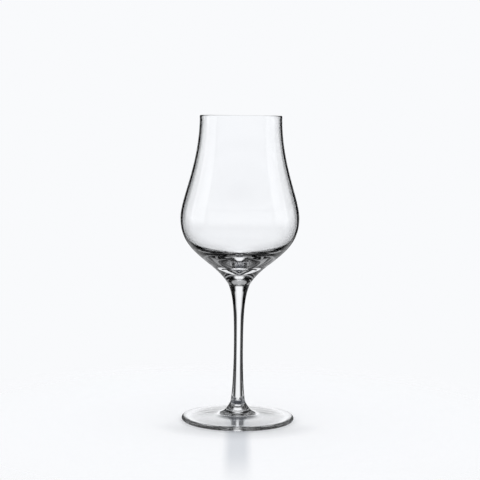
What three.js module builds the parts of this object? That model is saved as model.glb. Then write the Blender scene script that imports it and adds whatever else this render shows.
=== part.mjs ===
// Tulip brandy glass: a blown bowl, a drawn stem and a pressed foot, fused end to end.
// Millimetres, +Z up. The origin is the middle of the face that the glass stands on.

import * as THREE from 'three';

// Foot
const FOOT_RADIUS = 35;
const FOOT_EDGE_THICKNESS = 3;
const FOOT_HEIGHT = 11.25;
const FOOT_TOP_SLOPE = 5.5;
const COLLAR_SLOPE = 60;
const REST_RING_WIDTH = 2;
const UNDERSIDE_RISE = 4;
const CROWN_RADIUS = 9.5;
const CROWN_RISE = 2.3;

// Stem
const STEM_LENGTH = 74.25;
const STEM_FOOT_RADIUS = 4.75;
const STEM_FOOT_SLOPE = 66;
const WAIST_RADIUS = 2.82;
const WAIST_HEIGHT = 35.3;
const STEM_TOP_RADIUS = 6.68;
const STEM_TOP_SLOPE = 69;

// Bowl, with its heights counted from the joint with the stem
const BOWL_HEIGHT = 104.5;
const RIM_RADIUS = 25.4;
const BELLY_RADIUS = 36.8;
const BELLY_HEIGHT = 41;
const FUNNEL_RADIUS = 18.2;
const FUNNEL_HEIGHT = 12.15;
const FUNNEL_SLOPE = 38.2;
const BOWL_FOOT_SLOPE = 55;
const RIM_WALL = 1.2;
const BELLY_WALL = 1.3;
const CAVITY_RING_RADIUS = 8.2;
const CAVITY_RING_HEIGHT = 13.5;
const CAVITY_RING_SLOPE = 39;
const BASE_THICKNESS = 9.8;

// How far each end of a curve holds its slope, as a share of the curve's span
const FOOT_TOP_HOLD = 0.83;
const COLLAR_HOLD = 0.34;
const STEM_FOOT_HOLD = 0.075;
const WAIST_LOWER_HOLD = 0.44;
const WAIST_UPPER_HOLD = 0.68;
const STEM_TOP_HOLD = 0.18;
const BOWL_FOOT_HOLD = 0.16;
const FLARE_HOLD = 0.6;
const FUNNEL_HOLD = 0.39;
const BELLY_LOWER_HOLD = 0.408;
const BELLY_UPPER_HOLD = 0.2;
const RIM_HOLD = 0.475;
const CAVITY_SIDE_HOLD = 0.58;
const CAVITY_UPPER_HOLD = 0.25;
const CAVITY_LOWER_HOLD = 0.13;
const CAVITY_TIP_HOLD = 0.02;

// Fineness of the solids
const SIDES = 48;
const ROUND_STEPS = 6;
const CURVE_STEPS = 10;

const LEVEL = 0;
const UPRIGHT = 90;
const HALF_TURN = 180;

const at = (radius, height) => new THREE.Vector2(radius, height);

// A curve between two rings of an outline, which leaves and arrives at the given slopes in degrees
function sweep(start, startSlope, startHold, end, endSlope, endHold) {
  const span = start.distanceTo(end);
  const heading = (slope, reach) => at(reach, 0).rotateAround(at(0, 0), THREE.MathUtils.degToRad(slope));
  const leave = start.clone().add(heading(startSlope, startHold * span));
  const arrive = end.clone().sub(heading(endSlope, endHold * span));
  return new THREE.CubicBezierCurve(start, leave, arrive, end);
}

// A half circle on the outside or top of an outline, turning anticlockwise from its first angle
function halfRound(centre, radius, firstAngle) {
  const first = THREE.MathUtils.degToRad(firstAngle);
  return new THREE.EllipseCurve(centre.x, centre.y, radius, radius, first, first + Math.PI);
}

// Points along curves that follow each other, with each shared end kept once
function outline(stretches) {
  return stretches.flatMap(([curve, steps], place) => curve.getPoints(steps).slice(place ? 1 : 0));
}

// A body of revolution about +Z from an outline that starts and ends on the axis
function turned(name, points, colour, roughness) {
  const geometry = new THREE.LatheGeometry(points, SIDES);
  geometry.rotateX(Math.PI / 2);
  const material = new THREE.MeshStandardMaterial({
    color: colour,
    roughness,
    metalness: 0,
    transparent: true,
    opacity: 0.35,
  });
  const mesh = new THREE.Mesh(geometry, material);
  mesh.name = name;
  return mesh;
}

// The disc that the glass stands on: hollow underneath inside a resting ring, with a full round edge
// and a top that rises into a collar under the stem
function makeFoot() {
  const edgeRound = FOOT_EDGE_THICKNESS / 2;
  const edgeRing = FOOT_RADIUS - edgeRound;
  const hollowRadius = edgeRing - REST_RING_WIDTH;
  const hollowMiddle = at(0, UNDERSIDE_RISE);
  const hollowRim = at(hollowRadius, 0);
  const hollowCrown = at(CROWN_RADIUS, CROWN_RISE);
  const edgeTop = at(edgeRing, FOOT_EDGE_THICKNESS);
  const collarTop = at(STEM_FOOT_RADIUS, FOOT_HEIGHT);
  const points = outline([
    [new THREE.QuadraticBezierCurve(hollowMiddle, hollowCrown, hollowRim), ROUND_STEPS],
    [new THREE.LineCurve(hollowRim, at(edgeRing, 0)), 1],
    [halfRound(at(edgeRing, edgeRound), edgeRound, -UPRIGHT), ROUND_STEPS],
    [
      sweep(
        edgeTop, HALF_TURN - FOOT_TOP_SLOPE, FOOT_TOP_HOLD,
        collarTop, HALF_TURN - COLLAR_SLOPE, COLLAR_HOLD,
      ),
      CURVE_STEPS,
    ],
    [new THREE.LineCurve(collarTop, at(0, FOOT_HEIGHT)), 1],
  ]);
  return turned('foot', points, 0xf3f6f7, 0.04);
}

// The drawn rod between foot and bowl, slimmest at its waist and flared at both ends
function makeStem() {
  const bottom = at(STEM_FOOT_RADIUS, 0);
  const waist = at(WAIST_RADIUS, WAIST_HEIGHT);
  const top = at(STEM_TOP_RADIUS, STEM_LENGTH);
  const points = outline([
    [new THREE.LineCurve(at(0, 0), bottom), 1],
    [
      sweep(
        bottom, HALF_TURN - STEM_FOOT_SLOPE, STEM_FOOT_HOLD,
        waist, UPRIGHT, WAIST_LOWER_HOLD,
      ),
      CURVE_STEPS,
    ],
    [sweep(waist, UPRIGHT, WAIST_UPPER_HOLD, top, STEM_TOP_SLOPE, STEM_TOP_HOLD), CURVE_STEPS],
    [new THREE.LineCurve(top, at(0, STEM_LENGTH)), 1],
  ]);
  return turned('stem', points, 0xf4f7f8, 0.03);
}

// The tulip bowl: a thick base that flares from the stem, a round belly, and a thin wall drawn in
// to a neck with a melted round lip
function makeBowl() {
  const lipRound = RIM_WALL / 2;
  const lipHeight = BOWL_HEIGHT - lipRound;
  const joint = at(STEM_TOP_RADIUS, 0);
  const funnel = at(FUNNEL_RADIUS, FUNNEL_HEIGHT);
  const belly = at(BELLY_RADIUS, BELLY_HEIGHT);
  const rim = at(RIM_RADIUS, lipHeight);
  const rimInside = at(RIM_RADIUS - RIM_WALL, lipHeight);
  const bellyInside = at(BELLY_RADIUS - BELLY_WALL, BELLY_HEIGHT);
  const cavityRing = at(CAVITY_RING_RADIUS, CAVITY_RING_HEIGHT);
  const cavityTip = at(0, BASE_THICKNESS);
  const inward = HALF_TURN + CAVITY_RING_SLOPE;
  const points = outline([
    [new THREE.LineCurve(at(0, 0), joint), 1],
    [sweep(joint, BOWL_FOOT_SLOPE, BOWL_FOOT_HOLD, funnel, FUNNEL_SLOPE, FLARE_HOLD), CURVE_STEPS],
    [sweep(funnel, FUNNEL_SLOPE, FUNNEL_HOLD, belly, UPRIGHT, BELLY_LOWER_HOLD), CURVE_STEPS],
    [sweep(belly, UPRIGHT, BELLY_UPPER_HOLD, rim, UPRIGHT, RIM_HOLD), CURVE_STEPS],
    [halfRound(at(RIM_RADIUS - lipRound, lipHeight), lipRound, LEVEL), ROUND_STEPS],
    [sweep(rimInside, -UPRIGHT, RIM_HOLD, bellyInside, -UPRIGHT, BELLY_UPPER_HOLD), CURVE_STEPS],
    [sweep(bellyInside, -UPRIGHT, CAVITY_SIDE_HOLD, cavityRing, inward, CAVITY_UPPER_HOLD), CURVE_STEPS],
    [sweep(cavityRing, inward, CAVITY_LOWER_HOLD, cavityTip, HALF_TURN, CAVITY_TIP_HOLD), ROUND_STEPS],
  ]);
  return turned('bowl', points, 0xf5f8f9, 0.02);
}

// Each piece stands on the one below it
const bowlSeat = new THREE.Group();
bowlSeat.position.z = STEM_LENGTH;
bowlSeat.add(makeBowl());

const stemSeat = new THREE.Group();
stemSeat.position.z = FOOT_HEIGHT;
stemSeat.add(makeStem(), bowlSeat);

const glass = new THREE.Group();
glass.add(makeFoot(), stemSeat);

export default glass;
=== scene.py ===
import math

import bmesh
import bpy
import numpy as np
from mathutils import Matrix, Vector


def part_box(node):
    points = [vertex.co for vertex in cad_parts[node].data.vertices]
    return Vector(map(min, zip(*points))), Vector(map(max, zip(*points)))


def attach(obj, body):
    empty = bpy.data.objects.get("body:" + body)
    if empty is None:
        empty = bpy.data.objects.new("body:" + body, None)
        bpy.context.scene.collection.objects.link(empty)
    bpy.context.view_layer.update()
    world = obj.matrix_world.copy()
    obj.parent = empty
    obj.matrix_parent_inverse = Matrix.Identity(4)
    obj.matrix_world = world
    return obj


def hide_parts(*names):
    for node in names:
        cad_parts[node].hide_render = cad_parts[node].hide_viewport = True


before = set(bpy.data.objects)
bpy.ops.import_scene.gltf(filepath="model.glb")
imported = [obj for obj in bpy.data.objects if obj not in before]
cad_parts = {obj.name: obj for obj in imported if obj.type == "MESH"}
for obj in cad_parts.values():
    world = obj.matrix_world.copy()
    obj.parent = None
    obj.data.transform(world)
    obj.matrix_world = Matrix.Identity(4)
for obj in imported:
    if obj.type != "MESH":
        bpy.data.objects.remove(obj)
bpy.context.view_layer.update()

# Tulip brandy glass: a blown bowl, a drawn stem and a pressed foot of clear glass, fused end to end.
# Metres, +Z up. The glass stands on z = 0.
MM = 0.001

# Main sizes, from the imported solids
FOOT_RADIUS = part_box("foot")[1].x
FOOT_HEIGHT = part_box("foot")[1].z
STEM_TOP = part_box("stem")[1].z
STEM_TOP_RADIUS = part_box("stem")[1].x
BELLY_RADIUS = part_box("bowl")[1].x
RIM_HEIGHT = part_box("bowl")[1].z

# Foot
FOOT_EDGE_THICKNESS = 3 * MM
FOOT_TOP_SLOPE = 5.5
COLLAR_SLOPE = 60
REST_RING_WIDTH = 2 * MM
UNDERSIDE_RISE = 4 * MM
CROWN_RADIUS = 9.5 * MM
CROWN_RISE = 2.3 * MM

# Stem
STEM_FOOT_RADIUS = 4.75 * MM
STEM_FOOT_SLOPE = 66
WAIST_RADIUS = 2.82 * MM
WAIST_HEIGHT = FOOT_HEIGHT + 35.3 * MM
STEM_TOP_SLOPE = 69

# Bowl
RIM_RADIUS = 25.4 * MM
BELLY_HEIGHT = STEM_TOP + 41 * MM
FUNNEL_RADIUS = 18.2 * MM
FUNNEL_HEIGHT = STEM_TOP + 12.15 * MM
FUNNEL_SLOPE = 38.2
BOWL_FOOT_SLOPE = 55
RIM_WALL = 1.2 * MM
BELLY_WALL = 1.3 * MM
CAVITY_RING_RADIUS = 8.2 * MM
CAVITY_RING_HEIGHT = STEM_TOP + 13.5 * MM
CAVITY_RING_SLOPE = 39
CAVITY_TIP_HEIGHT = STEM_TOP + 9.8 * MM

# How far each end of a curve holds its slope, as a share of the curve's span
FOOT_TOP_HOLD = 0.83
COLLAR_HOLD = 0.34
STEM_FOOT_HOLD = 0.075
WAIST_LOWER_HOLD = 0.44
WAIST_UPPER_HOLD = 0.68
STEM_TOP_HOLD = 0.18
BOWL_FOOT_HOLD = 0.16
FLARE_HOLD = 0.6
FUNNEL_HOLD = 0.39
BELLY_LOWER_HOLD = 0.408
BELLY_UPPER_HOLD = 0.2
RIM_HOLD = 0.475
CAVITY_SIDE_HOLD = 0.58
CAVITY_UPPER_HOLD = 0.25
CAVITY_LOWER_HOLD = 0.13
CAVITY_TIP_HOLD = 0.02

# Fineness of the surfaces
SIDES = 192
CURVE_STEPS = 48
ROUND_STEPS = 16
CREASE_ANGLE = 40

LEVEL = 0
UPRIGHT = 90
HALF_TURN = 180

# The camera stands in front of the glass and looks slightly down, with a small lean
CAMERA_DISTANCE = 0.888
CAMERA_HEIGHT = 0.190
CAMERA_TILT = 4.956
CAMERA_LEAN = 0.672
CAMERA_PAN = -0.014
CAMERA_LENS = 107.85
SENSOR_WIDTH = 36

# Clear glass
GLASS_IOR = 1.52
GLASS_BOUNCES = 24
CLEAR = (0.993, 0.995, 0.998, 1)
CLEAR_COOL = (0.983, 0.988, 0.996, 1)

# Studio paper, for the eye and for dull surfaces
PAPER = (0.947, 0.956, 0.973, 1)

# Table top, which fades into the paper
TABLE_COLOUR = (1, 1, 1, 1)
TABLE_RADIUS = 300 * MM
TABLE_DROP = 0.2 * MM
TABLE_FADE_START = 90 * MM
TABLE_FADE_END = 220 * MM

# Through glass, the table shows under the foot alone, lifted by a painted glow that makes up for the light
# that the foot takes; other rays see a fainter painted glow
TABLE_NEAR = 33 * MM
TABLE_NEAR_END = 36 * MM
TABLE_SHARE = 0.9
PAINTED_GLOW_STRENGTH = 0.28
PAINTED_TABLE_GLOW = (0.09, 0.10, 0.12, 1)

# Painted shade under the collar: the table is painted dark there, in the colour that all its painted shades
# use
PAINTED_SHADE_COLOUR = (0.025, 0.03, 0.04, 1)
COLLAR_SHADE_RADIUS = 9 * MM
COLLAR_SHADE_END = 15 * MM

# Painted shade: through stem and foot together, the table is painted dark, and bright only behind the stem's
# core
CORE_WIDTH = 3 * MM
CORE_END = 6 * MM

# Painted shadow: two dark lines, with a bright beam between them, painted on the table where the stem would
# throw them through the front of the foot
LINES_DEPTH = 0.85
LINES_INSIDE = 0.9 * MM
LINES_OUTSIDE = 3.8 * MM
LINES_SOFTNESS = 0.5 * MM
LINES_START = 7 * MM
LINES_FULL = 9 * MM
LINES_FADE = 25 * MM
LINES_END = 29 * MM

# Painted reflection: the stem's soft reflection in front of the glass, painted into the table's colour
PAINTED_REFLECTION_COLOUR = (0.740, 0.755, 0.777, 1)
REFLECTION_WIDTH = 6.5 * MM
REFLECTION_SOFTNESS = 3.5 * MM
REFLECTION_FADE = 80 * MM
REFLECTION_END = 190 * MM

# Painted shade on the table in front of the foot's edge
EDGE_SHADE = 0.2
EDGE_SHADE_END = 62 * MM

# Soft panels round the glass. Their angles count from straight behind it, right being positive: middle,
# half width, feather, lowest, highest, feather, glow. Light that was turned inside the glass sees the
# backdrops at half their width.
BACKDROPS = {
    "backdrop": (0, 16, 6, -12, 19, 3, 1.09),
    "low_backdrop": (0, 16, 6, -40, -12, 3, 0.98),
    "high_backdrop": (0, 16, 6, 19, 58, 3, 0.35),
}
ROOM = {
    "room": (180, 70, 6, -14, 20, 4, 0.25),
    "low_room": (180, 100, 10, -42, -20, 4, 0.45),
    "front_ceiling": (0, 62, 12, 46, 120, 6, 0.5),
    "ceiling": (180, 112, 12, 50, 120, 12, 0.12),
}

# Panels for light that was turned inside the glass
TURNED_GLOWS = {
    "left_side": (-61, 14, 3, -3, 16, 2, 0.4),
    "right_side": (61, 14, 3, -3, 16, 2, 0.3),
    "low_left_side": (-41, 13, 3, -12, -4.5, 1.5, 0.35),
    "low_right_side": (41, 13, 3, -12, -4.5, 1.5, 0.25),
}

# Panels for light that passes straight through, which give the stem its bright core from every side
STRAIGHT_GLOWS = {
    "left_middle": (-19.5, 4, 3, -3, 12, 2, 0.5),
    "right_middle": (19.5, 4, 3, -3, 12, 2, 0.5),
    "left_window": (-45, 4, 2, -38, -17, 3, 1),
    "right_window": (45, 4, 2, -38, -17, 3, 1),
    "left_side_window": (-90, 12, 4, -36, 8, 3, 1),
    "right_side_window": (90, 12, 4, -36, 8, 3, 1),
    "left_back_window": (-135, 12, 4, -36, 8, 3, 1),
    "right_back_window": (135, 12, 4, -36, 8, 3, 1),
    "back_window": (180, 12, 4, -36, 8, 3, 1),
    "below": (180, 200, 5, -120, -46, 4, 0.9),
}

# Panels that gleam on the outside of the glass
GLEAMS = {
    "backdrop": (0, 7, 3, -12, 19, 3, 1.1),
    "floor": (0, 34, 8, -100, -14, 3, 0.6),
    "room": (180, 130, 5, -8, 19, 8, 1),
    "above": (180, 200, 5, 19, 120, 3, 0.35),
    "left_strip": (-89.5, 18.5, 2, -8, 55, 8, 1.3),
    "right_strip": (91, 17, 2, -8, 55, 8, 1.3),
}

# Surfaces that light crosses in the foot or stem alone, and in both walls of the bowl. Through the bowl
# it comes from bright paper on every side.
ONE_PIECE = 2
BOTH_WALLS = 4
OUTLOOK_GLOW = 1.105
COUNT_MARGIN = 0.5


class Value:
    """A socket of a finish, so that shader maths can be written as plain expressions."""

    def __init__(self, finish, socket):
        self.finish = finish
        self.socket = socket

    def output(self, name):
        """Another output of the node that this value comes from."""
        return Value(self.finish, self.socket.node.outputs[name])

    def __add__(self, other):
        return self.finish.maths("ADD", self, other)

    __radd__ = __add__

    def __sub__(self, other):
        return self.finish.maths("SUBTRACT", self, other)

    def __rsub__(self, other):
        return self.finish.maths("SUBTRACT", other, self)

    def __mul__(self, other):
        return self.finish.maths("MULTIPLY", self, other)

    __rmul__ = __mul__

    def __truediv__(self, other):
        return self.finish.maths("DIVIDE", self, other)

    def __rtruediv__(self, other):
        return self.finish.maths("DIVIDE", other, self)


class Finish:
    """The nodes of one material or of the world."""

    def __init__(self, owner):
        owner.use_nodes = True
        self.tree = owner.node_tree
        self.tree.nodes.clear()

    def node(self, kind, settings, sockets):
        """Adds a node, sets it up, fills its sockets with values or links, and gives its first output."""
        made = self.tree.nodes.new(kind)
        for name, setting in settings.items():
            setattr(made, name, setting)
        for name, content in sockets.items():
            if isinstance(content, Value):
                self.tree.links.new(content.socket, made.inputs[name])
            else:
                made.inputs[name].default_value = content
        return Value(self, made.outputs[0]) if made.outputs else None

    def maths(self, operation, *terms):
        return self.node("ShaderNodeMath", {"operation": operation}, dict(enumerate(terms)))

    def rise(self, value, start, end):
        """0 up to start, 1 from end on, with a smooth slope between."""
        settings = {"interpolation_type": "SMOOTHSTEP"}
        return self.node("ShaderNodeMapRange", settings, {0: value, 1: start, 2: end})

    def edge(self, value, middle, softness):
        """0 well below the middle, 1 well above it."""
        return self.rise(value, middle - softness, middle + softness)

    def blend(self, share, first, second):
        """A colour between two colours."""
        mix = self.node("ShaderNodeMix", {"data_type": "RGBA"}, {0: share, 6: first, 7: second})
        return mix.output(2)


def new_material(name):
    material = bpy.data.materials.new(name)
    return material, Finish(material)


def place_camera():
    camera = bpy.data.objects.new("camera", bpy.data.cameras.new("camera"))
    bpy.context.scene.collection.objects.link(camera)
    camera.data.sensor_width = SENSOR_WIDTH
    camera.data.lens = CAMERA_LENS
    stand = Matrix.Translation((0, -CAMERA_DISTANCE, CAMERA_HEIGHT))
    pan = Matrix.Rotation(math.radians(CAMERA_PAN), 4, "Z")
    tilt = Matrix.Rotation(math.radians(UPRIGHT - CAMERA_TILT), 4, "X")
    lean = Matrix.Rotation(math.radians(CAMERA_LEAN), 4, "Z")
    camera.matrix_world = stand @ pan @ tilt @ lean
    bpy.context.scene.camera = camera


def clear_glass(name, stretch, scale, depth):
    """Fire-polished glass whose surface waves faintly, at a scale and stretch of its own."""
    material, finish = new_material(name)
    place = finish.node("ShaderNodeTexCoord", {}, {}).output("Object")
    grain = finish.node("ShaderNodeMapping", {}, {"Vector": place, "Scale": stretch})
    waves = finish.node("ShaderNodeTexNoise", {}, {"Vector": grain, "Scale": scale, "Detail": 1})
    bump = finish.node("ShaderNodeBump", {}, {"Strength": 1, "Distance": depth, "Height": waves})
    shader = finish.node(
        "ShaderNodeBsdfPrincipled",
        {},
        {
            "Base Color": finish.blend(waves, CLEAR, CLEAR_COOL),
            "Roughness": 0,
            "IOR": GLASS_IOR,
            "Transmission Weight": 1,
            "Normal": bump,
        },
    )
    finish.node("ShaderNodeOutputMaterial", {}, {"Surface": shader})
    return material


def fused_joint():
    """The face where two pieces were melted together, which light crosses unbent."""
    material, finish = new_material("fused_joint")
    clear = finish.node("ShaderNodeBsdfTransparent", {}, {})
    finish.node("ShaderNodeOutputMaterial", {}, {"Surface": clear})
    return material


def heading(slope):
    return np.array((math.cos(math.radians(slope)), math.sin(math.radians(slope))))


def sweep(start, start_slope, start_hold, end, end_slope, end_hold):
    """A curve between two rings of an outline, which leaves and arrives at the given slopes in degrees."""
    start = np.array(start)
    end = np.array(end)
    span = np.linalg.norm(end - start)
    leave = start + heading(start_slope) * start_hold * span
    arrive = end - heading(end_slope) * end_hold * span
    gone = np.linspace(0, 1, CURVE_STEPS + 1)[:, None]
    left = 1 - gone
    return left**3 * start + 3 * left**2 * gone * leave + 3 * left * gone**2 * arrive + gone**3 * end


def half_round(centre, radius, first_angle):
    """A half circle that turns anticlockwise from its first angle."""
    angles = first_angle + np.linspace(0, HALF_TURN, ROUND_STEPS + 1)
    return np.array([np.array(centre) + radius * heading(angle) for angle in angles])


def hollow(middle, crown, rim):
    """A shallow dome from the axis down to its rim, pulled towards its crown on the way."""
    gone = np.linspace(0, 1, ROUND_STEPS + 1)[:, None]
    left = 1 - gone
    return left**2 * np.array(middle) + 2 * left * gone * np.array(crown) + gone**2 * np.array(rim)


def outline(*stretches):
    """Stretches that follow each other, with each shared end kept once."""
    kept = [np.array(stretches[0])]
    kept += [np.array(stretch)[1:] for stretch in stretches[1:]]
    return np.vstack(kept)


def turned(name, points, glass, joint_face, joints):
    """A closed body of revolution from an outline that starts and ends on the axis."""
    shape = bmesh.new()
    turns = [2 * math.pi * side / SIDES for side in range(SIDES)]
    rings = []
    for radius, height in points:
        around = turns if radius > 0 else turns[:1]
        rings.append([shape.verts.new((radius * math.cos(t), radius * math.sin(t), height)) for t in around])
    for first, second in zip(rings, rings[1:]):
        fused = any(first[0].co.z == second[0].co.z == joint for joint in joints)
        for side in range(SIDES):
            after = (side + 1) % SIDES
            corners = (first[side % len(first)], first[after % len(first)])
            corners += (second[after % len(second)], second[side % len(second)])
            face = shape.faces.new(tuple(dict.fromkeys(corners)))
            face.smooth = True
            face.material_index = int(fused)
    mesh = bpy.data.meshes.new(name)
    shape.to_mesh(mesh)
    shape.free()
    mesh.materials.append(glass)
    mesh.materials.append(joint_face)
    mesh.set_sharp_from_angle(angle=math.radians(CREASE_ANGLE))
    piece = bpy.data.objects.new(name, mesh)
    bpy.context.scene.collection.objects.link(piece)
    return piece


def make_foot(glass, joint_face):
    """The disc that the glass stands on, with a full round edge and a collar under the stem."""
    edge_round = FOOT_EDGE_THICKNESS / 2
    edge_ring = FOOT_RADIUS - edge_round
    hollow_rim = (edge_ring - REST_RING_WIDTH, 0)
    edge_top = (edge_ring, FOOT_EDGE_THICKNESS)
    collar_top = (STEM_FOOT_RADIUS, FOOT_HEIGHT)
    points = outline(
        hollow((0, UNDERSIDE_RISE), (CROWN_RADIUS, CROWN_RISE), hollow_rim),
        (hollow_rim, (edge_ring, 0)),
        half_round((edge_ring, edge_round), edge_round, -UPRIGHT),
        sweep(
            edge_top, HALF_TURN - FOOT_TOP_SLOPE, FOOT_TOP_HOLD,
            collar_top, HALF_TURN - COLLAR_SLOPE, COLLAR_HOLD,
        ),
        (collar_top, (0, FOOT_HEIGHT)),
    )
    return turned("round_foot", points, glass, joint_face, (FOOT_HEIGHT,))


def make_stem(glass, joint_face):
    """The drawn rod between foot and bowl, slimmest at its waist and flared at both ends."""
    bottom = (STEM_FOOT_RADIUS, FOOT_HEIGHT)
    waist = (WAIST_RADIUS, WAIST_HEIGHT)
    top = (STEM_TOP_RADIUS, STEM_TOP)
    points = outline(
        ((0, FOOT_HEIGHT), bottom),
        sweep(bottom, HALF_TURN - STEM_FOOT_SLOPE, STEM_FOOT_HOLD, waist, UPRIGHT, WAIST_LOWER_HOLD),
        sweep(waist, UPRIGHT, WAIST_UPPER_HOLD, top, STEM_TOP_SLOPE, STEM_TOP_HOLD),
        (top, (0, STEM_TOP)),
    )
    return turned("drawn_stem", points, glass, joint_face, (FOOT_HEIGHT, STEM_TOP))


def make_bowl(glass, joint_face):
    """The tulip bowl: a thick base, a round belly, and a thin wall drawn in to a melted round lip."""
    lip_round = RIM_WALL / 2
    lip_height = RIM_HEIGHT - lip_round
    joint = (STEM_TOP_RADIUS, STEM_TOP)
    funnel = (FUNNEL_RADIUS, FUNNEL_HEIGHT)
    belly = (BELLY_RADIUS, BELLY_HEIGHT)
    rim = (RIM_RADIUS, lip_height)
    rim_inside = (RIM_RADIUS - RIM_WALL, lip_height)
    belly_inside = (BELLY_RADIUS - BELLY_WALL, BELLY_HEIGHT)
    cavity_ring = (CAVITY_RING_RADIUS, CAVITY_RING_HEIGHT)
    inward = HALF_TURN + CAVITY_RING_SLOPE
    points = outline(
        ((0, STEM_TOP), joint),
        sweep(joint, BOWL_FOOT_SLOPE, BOWL_FOOT_HOLD, funnel, FUNNEL_SLOPE, FLARE_HOLD),
        sweep(funnel, FUNNEL_SLOPE, FUNNEL_HOLD, belly, UPRIGHT, BELLY_LOWER_HOLD),
        sweep(belly, UPRIGHT, BELLY_UPPER_HOLD, rim, UPRIGHT, RIM_HOLD),
        half_round((RIM_RADIUS - lip_round, lip_height), lip_round, LEVEL),
        sweep(rim_inside, -UPRIGHT, RIM_HOLD, belly_inside, -UPRIGHT, BELLY_UPPER_HOLD),
        sweep(belly_inside, -UPRIGHT, CAVITY_SIDE_HOLD, cavity_ring, inward, CAVITY_UPPER_HOLD),
        sweep(cavity_ring, inward, CAVITY_LOWER_HOLD, (0, CAVITY_TIP_HEIGHT), HALF_TURN, CAVITY_TIP_HOLD),
    )
    return turned("tulip_bowl", points, glass, joint_face, (STEM_TOP,))


def make_glass():
    joint_face = fused_joint()
    blown = clear_glass("blown_glass", (1, 1, 0.5), 60, 0.01 * MM)
    drawn = clear_glass("drawn_glass", (1, 1, 0.03), 600, 0.002 * MM)
    pressed = clear_glass("pressed_glass", (1, 1, 1), 80, 0.01 * MM)
    pieces = (
        (make_bowl(blown, joint_face), "bowl", "blown_glass"),
        (make_stem(drawn, joint_face), "stem", "drawn_glass"),
        (make_foot(pressed, joint_face), "foot", "pressed_glass"),
    )
    for piece, node, slot in pieces:
        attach(piece, "root")
        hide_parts(node)


def seen_through_glass(finish, path):
    return finish.maths("MAXIMUM", path.output("Is Glossy Ray"), path.output("Is Transmission Ray"))


def panel_light(finish, right, ahead, height, panels, squeeze=1):
    """The glow of soft panels in a direction, given its two level parts and its height in degrees."""
    total = 0
    for middle, half_width, feather, lowest, highest, end_feather, glow in panels.values():
        turn = math.radians(middle)
        facing = right * math.sin(turn) + ahead * math.cos(turn)
        across = squeeze * finish.maths("DEGREES", finish.maths("ARCCOSINE", facing))
        beside = finish.edge(across, half_width, feather)
        between = finish.edge(height, lowest, end_feather) - finish.edge(height, highest, end_feather)
        total = total + glow * (1 - beside) * between
    return total


def light_studio():
    """White paper for the eye and for dull surfaces, and soft panels for what glass reflects and bends."""
    world = bpy.data.worlds.new("studio")
    bpy.context.scene.world = world
    finish = Finish(world)
    place = finish.node("ShaderNodeTexCoord", {}, {}).output("Generated")
    right = finish.node("ShaderNodeSeparateXYZ", {}, {"Vector": place})
    ahead = right.output("Y")
    level = finish.maths("SQRT", right * right + ahead * ahead)
    height = finish.maths("DEGREES", finish.maths("ARCTAN2", right.output("Z"), level))
    direction = (finish, right / level, ahead / level, height)
    path = finish.node("ShaderNodeLightPath", {}, {})
    crossings = path.output("Transmission Depth")
    turned_inside = finish.maths("GREATER_THAN", path.output("Glossy Depth"), COUNT_MARGIN)
    straight = 1 - turned_inside
    inside = panel_light(*direction, BACKDROPS, 1 + turned_inside) + panel_light(*direction, ROOM)
    inside = inside + turned_inside * panel_light(*direction, TURNED_GLOWS)
    inside = inside + straight * panel_light(*direction, STRAIGHT_GLOWS)
    outlook = straight * finish.maths("COMPARE", crossings, BOTH_WALLS, COUNT_MARGIN)
    inside = inside + outlook * (OUTLOOK_GLOW - inside)
    gleaming = finish.maths("LESS_THAN", crossings, COUNT_MARGIN)
    glow = inside + gleaming * (panel_light(*direction, GLEAMS) - inside)
    undulled = finish.maths("LESS_THAN", path.output("Diffuse Depth"), COUNT_MARGIN)
    paper = finish.node("ShaderNodeBackground", {}, {"Color": PAPER, "Strength": 1})
    panels = finish.node("ShaderNodeBackground", {}, {"Color": PAPER, "Strength": glow})
    share = seen_through_glass(finish, path) * undulled
    seen = finish.node("ShaderNodeMixShader", {}, {0: share, 1: paper, 2: panels})
    finish.node("ShaderNodeOutputWorld", {}, {"Surface": seen})


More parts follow.
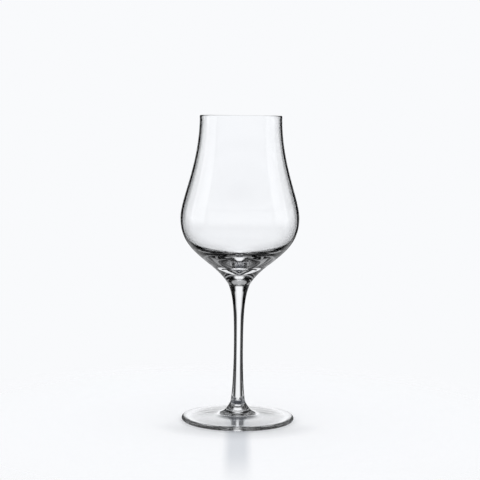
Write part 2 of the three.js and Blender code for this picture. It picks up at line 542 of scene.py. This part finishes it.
def table_finish():
    """Pale and dull, with painted shade where the glass would shade it, a painted reflection of the stem and
    a painted glow, and gone where the paper takes over.
    """
    material, finish = new_material("pale_table")
    place = finish.node("ShaderNodeTexCoord", {}, {}).output("Object")
    reach = finish.node("ShaderNodeVectorMath", {"operation": "LENGTH"}, {0: place}).output("Value")
    sides = finish.node("ShaderNodeSeparateXYZ", {}, {"Vector": place})
    beside = finish.maths("ABSOLUTE", sides)
    toward = 0 - sides.output("Y")
    path = finish.node("ShaderNodeLightPath", {}, {})
    through_glass = seen_through_glass(finish, path)
    one_piece = finish.maths("LESS_THAN", path.output("Transmission Depth"), ONE_PIECE + COUNT_MARGIN)

    beyond = finish.rise(reach, TABLE_NEAR, TABLE_NEAR_END)
    faded = finish.rise(reach, TABLE_FADE_START, TABLE_FADE_END)
    gone = finish.maths("MAXIMUM", faded, through_glass * (1 - TABLE_SHARE * (1 - beyond)))

    # Painted shadow: two dark lines that the stem would throw through the front of the foot
    begun = finish.rise(toward, LINES_START, LINES_FULL)
    painted_stem_lines = begun - finish.rise(toward, LINES_FADE, LINES_END)
    painted_stem_lines = painted_stem_lines * finish.edge(beside, LINES_INSIDE, LINES_SOFTNESS)
    painted_stem_lines = painted_stem_lines * (1 - finish.edge(beside, LINES_OUTSIDE, LINES_SOFTNESS))
    # Painted reflection of the stem on the table in front of the glass
    painted_reflection_share = begun * (1 - finish.rise(toward, REFLECTION_FADE, REFLECTION_END))
    painted_reflection_share = painted_reflection_share * (1 - finish.edge(beside, REFLECTION_WIDTH, REFLECTION_SOFTNESS))
    # Painted shade on the table in front of the foot's edge
    painted_edge_shade_mask = beyond * finish.rise(toward, 0, FOOT_RADIUS)
    painted_edge_shade_mask = painted_edge_shade_mask * (1 - finish.rise(reach, FOOT_RADIUS, EDGE_SHADE_END))
    # Painted shade: through stem and foot together the table is painted dark, save a bright strip behind the
    # stem's core
    painted_lit_share = finish.maths("MAXIMUM", one_piece, 1 - finish.rise(beside, CORE_WIDTH, CORE_END))
    # Painted shade on the table under the collar
    painted_lit_share = painted_lit_share * finish.rise(reach, COLLAR_SHADE_RADIUS, COLLAR_SHADE_END)
    painted_lit_share = painted_lit_share * (1 - LINES_DEPTH * painted_stem_lines) * (1 - EDGE_SHADE * painted_edge_shade_mask)

    top = finish.node(
        "ShaderNodeBsdfPrincipled",
        {},
        {
            # Base colour: painted shades and the painted reflection of the stem over the white table
            "Base Color": finish.blend(painted_lit_share, PAINTED_SHADE_COLOUR, finish.blend(painted_reflection_share, TABLE_COLOUR, PAINTED_REFLECTION_COLOUR)),
            "Specular IOR Level": 0,
            # Painted glow: the table emits light, faint for most rays and brighter through the glass
            "Emission Color": finish.blend(through_glass * painted_lit_share, PAINTED_TABLE_GLOW, PAPER),
            "Emission Strength": PAINTED_GLOW_STRENGTH,
        },
    )
    clear = finish.node("ShaderNodeBsdfTransparent", {}, {})
    surface = finish.node("ShaderNodeMixShader", {}, {0: gone, 1: top, 2: clear})
    finish.node("ShaderNodeOutputMaterial", {}, {"Surface": surface})
    return material


def lay_table():
    """A round table top just under the foot."""
    shape = bmesh.new()
    bmesh.ops.create_circle(shape, cap_ends=True, segments=SIDES, radius=TABLE_RADIUS)
    bmesh.ops.translate(shape, vec=(0, 0, -TABLE_DROP), verts=shape.verts)
    mesh = bpy.data.meshes.new("table_top")
    shape.to_mesh(mesh)
    shape.free()
    mesh.materials.append(table_finish())
    table = bpy.data.objects.new("table_top", mesh)
    bpy.context.scene.collection.objects.link(table)


def allow_long_paths():
    cycles = bpy.context.scene.cycles
    cycles.max_bounces = GLASS_BOUNCES
    cycles.transmission_bounces = GLASS_BOUNCES
    cycles.glossy_bounces = GLASS_BOUNCES
    cycles.transparent_max_bounces = GLASS_BOUNCES


place_camera()
light_studio()
lay_table()
make_glass()
allow_long_paths()
bpy.context.scene.view_settings.view_transform = "Standard"
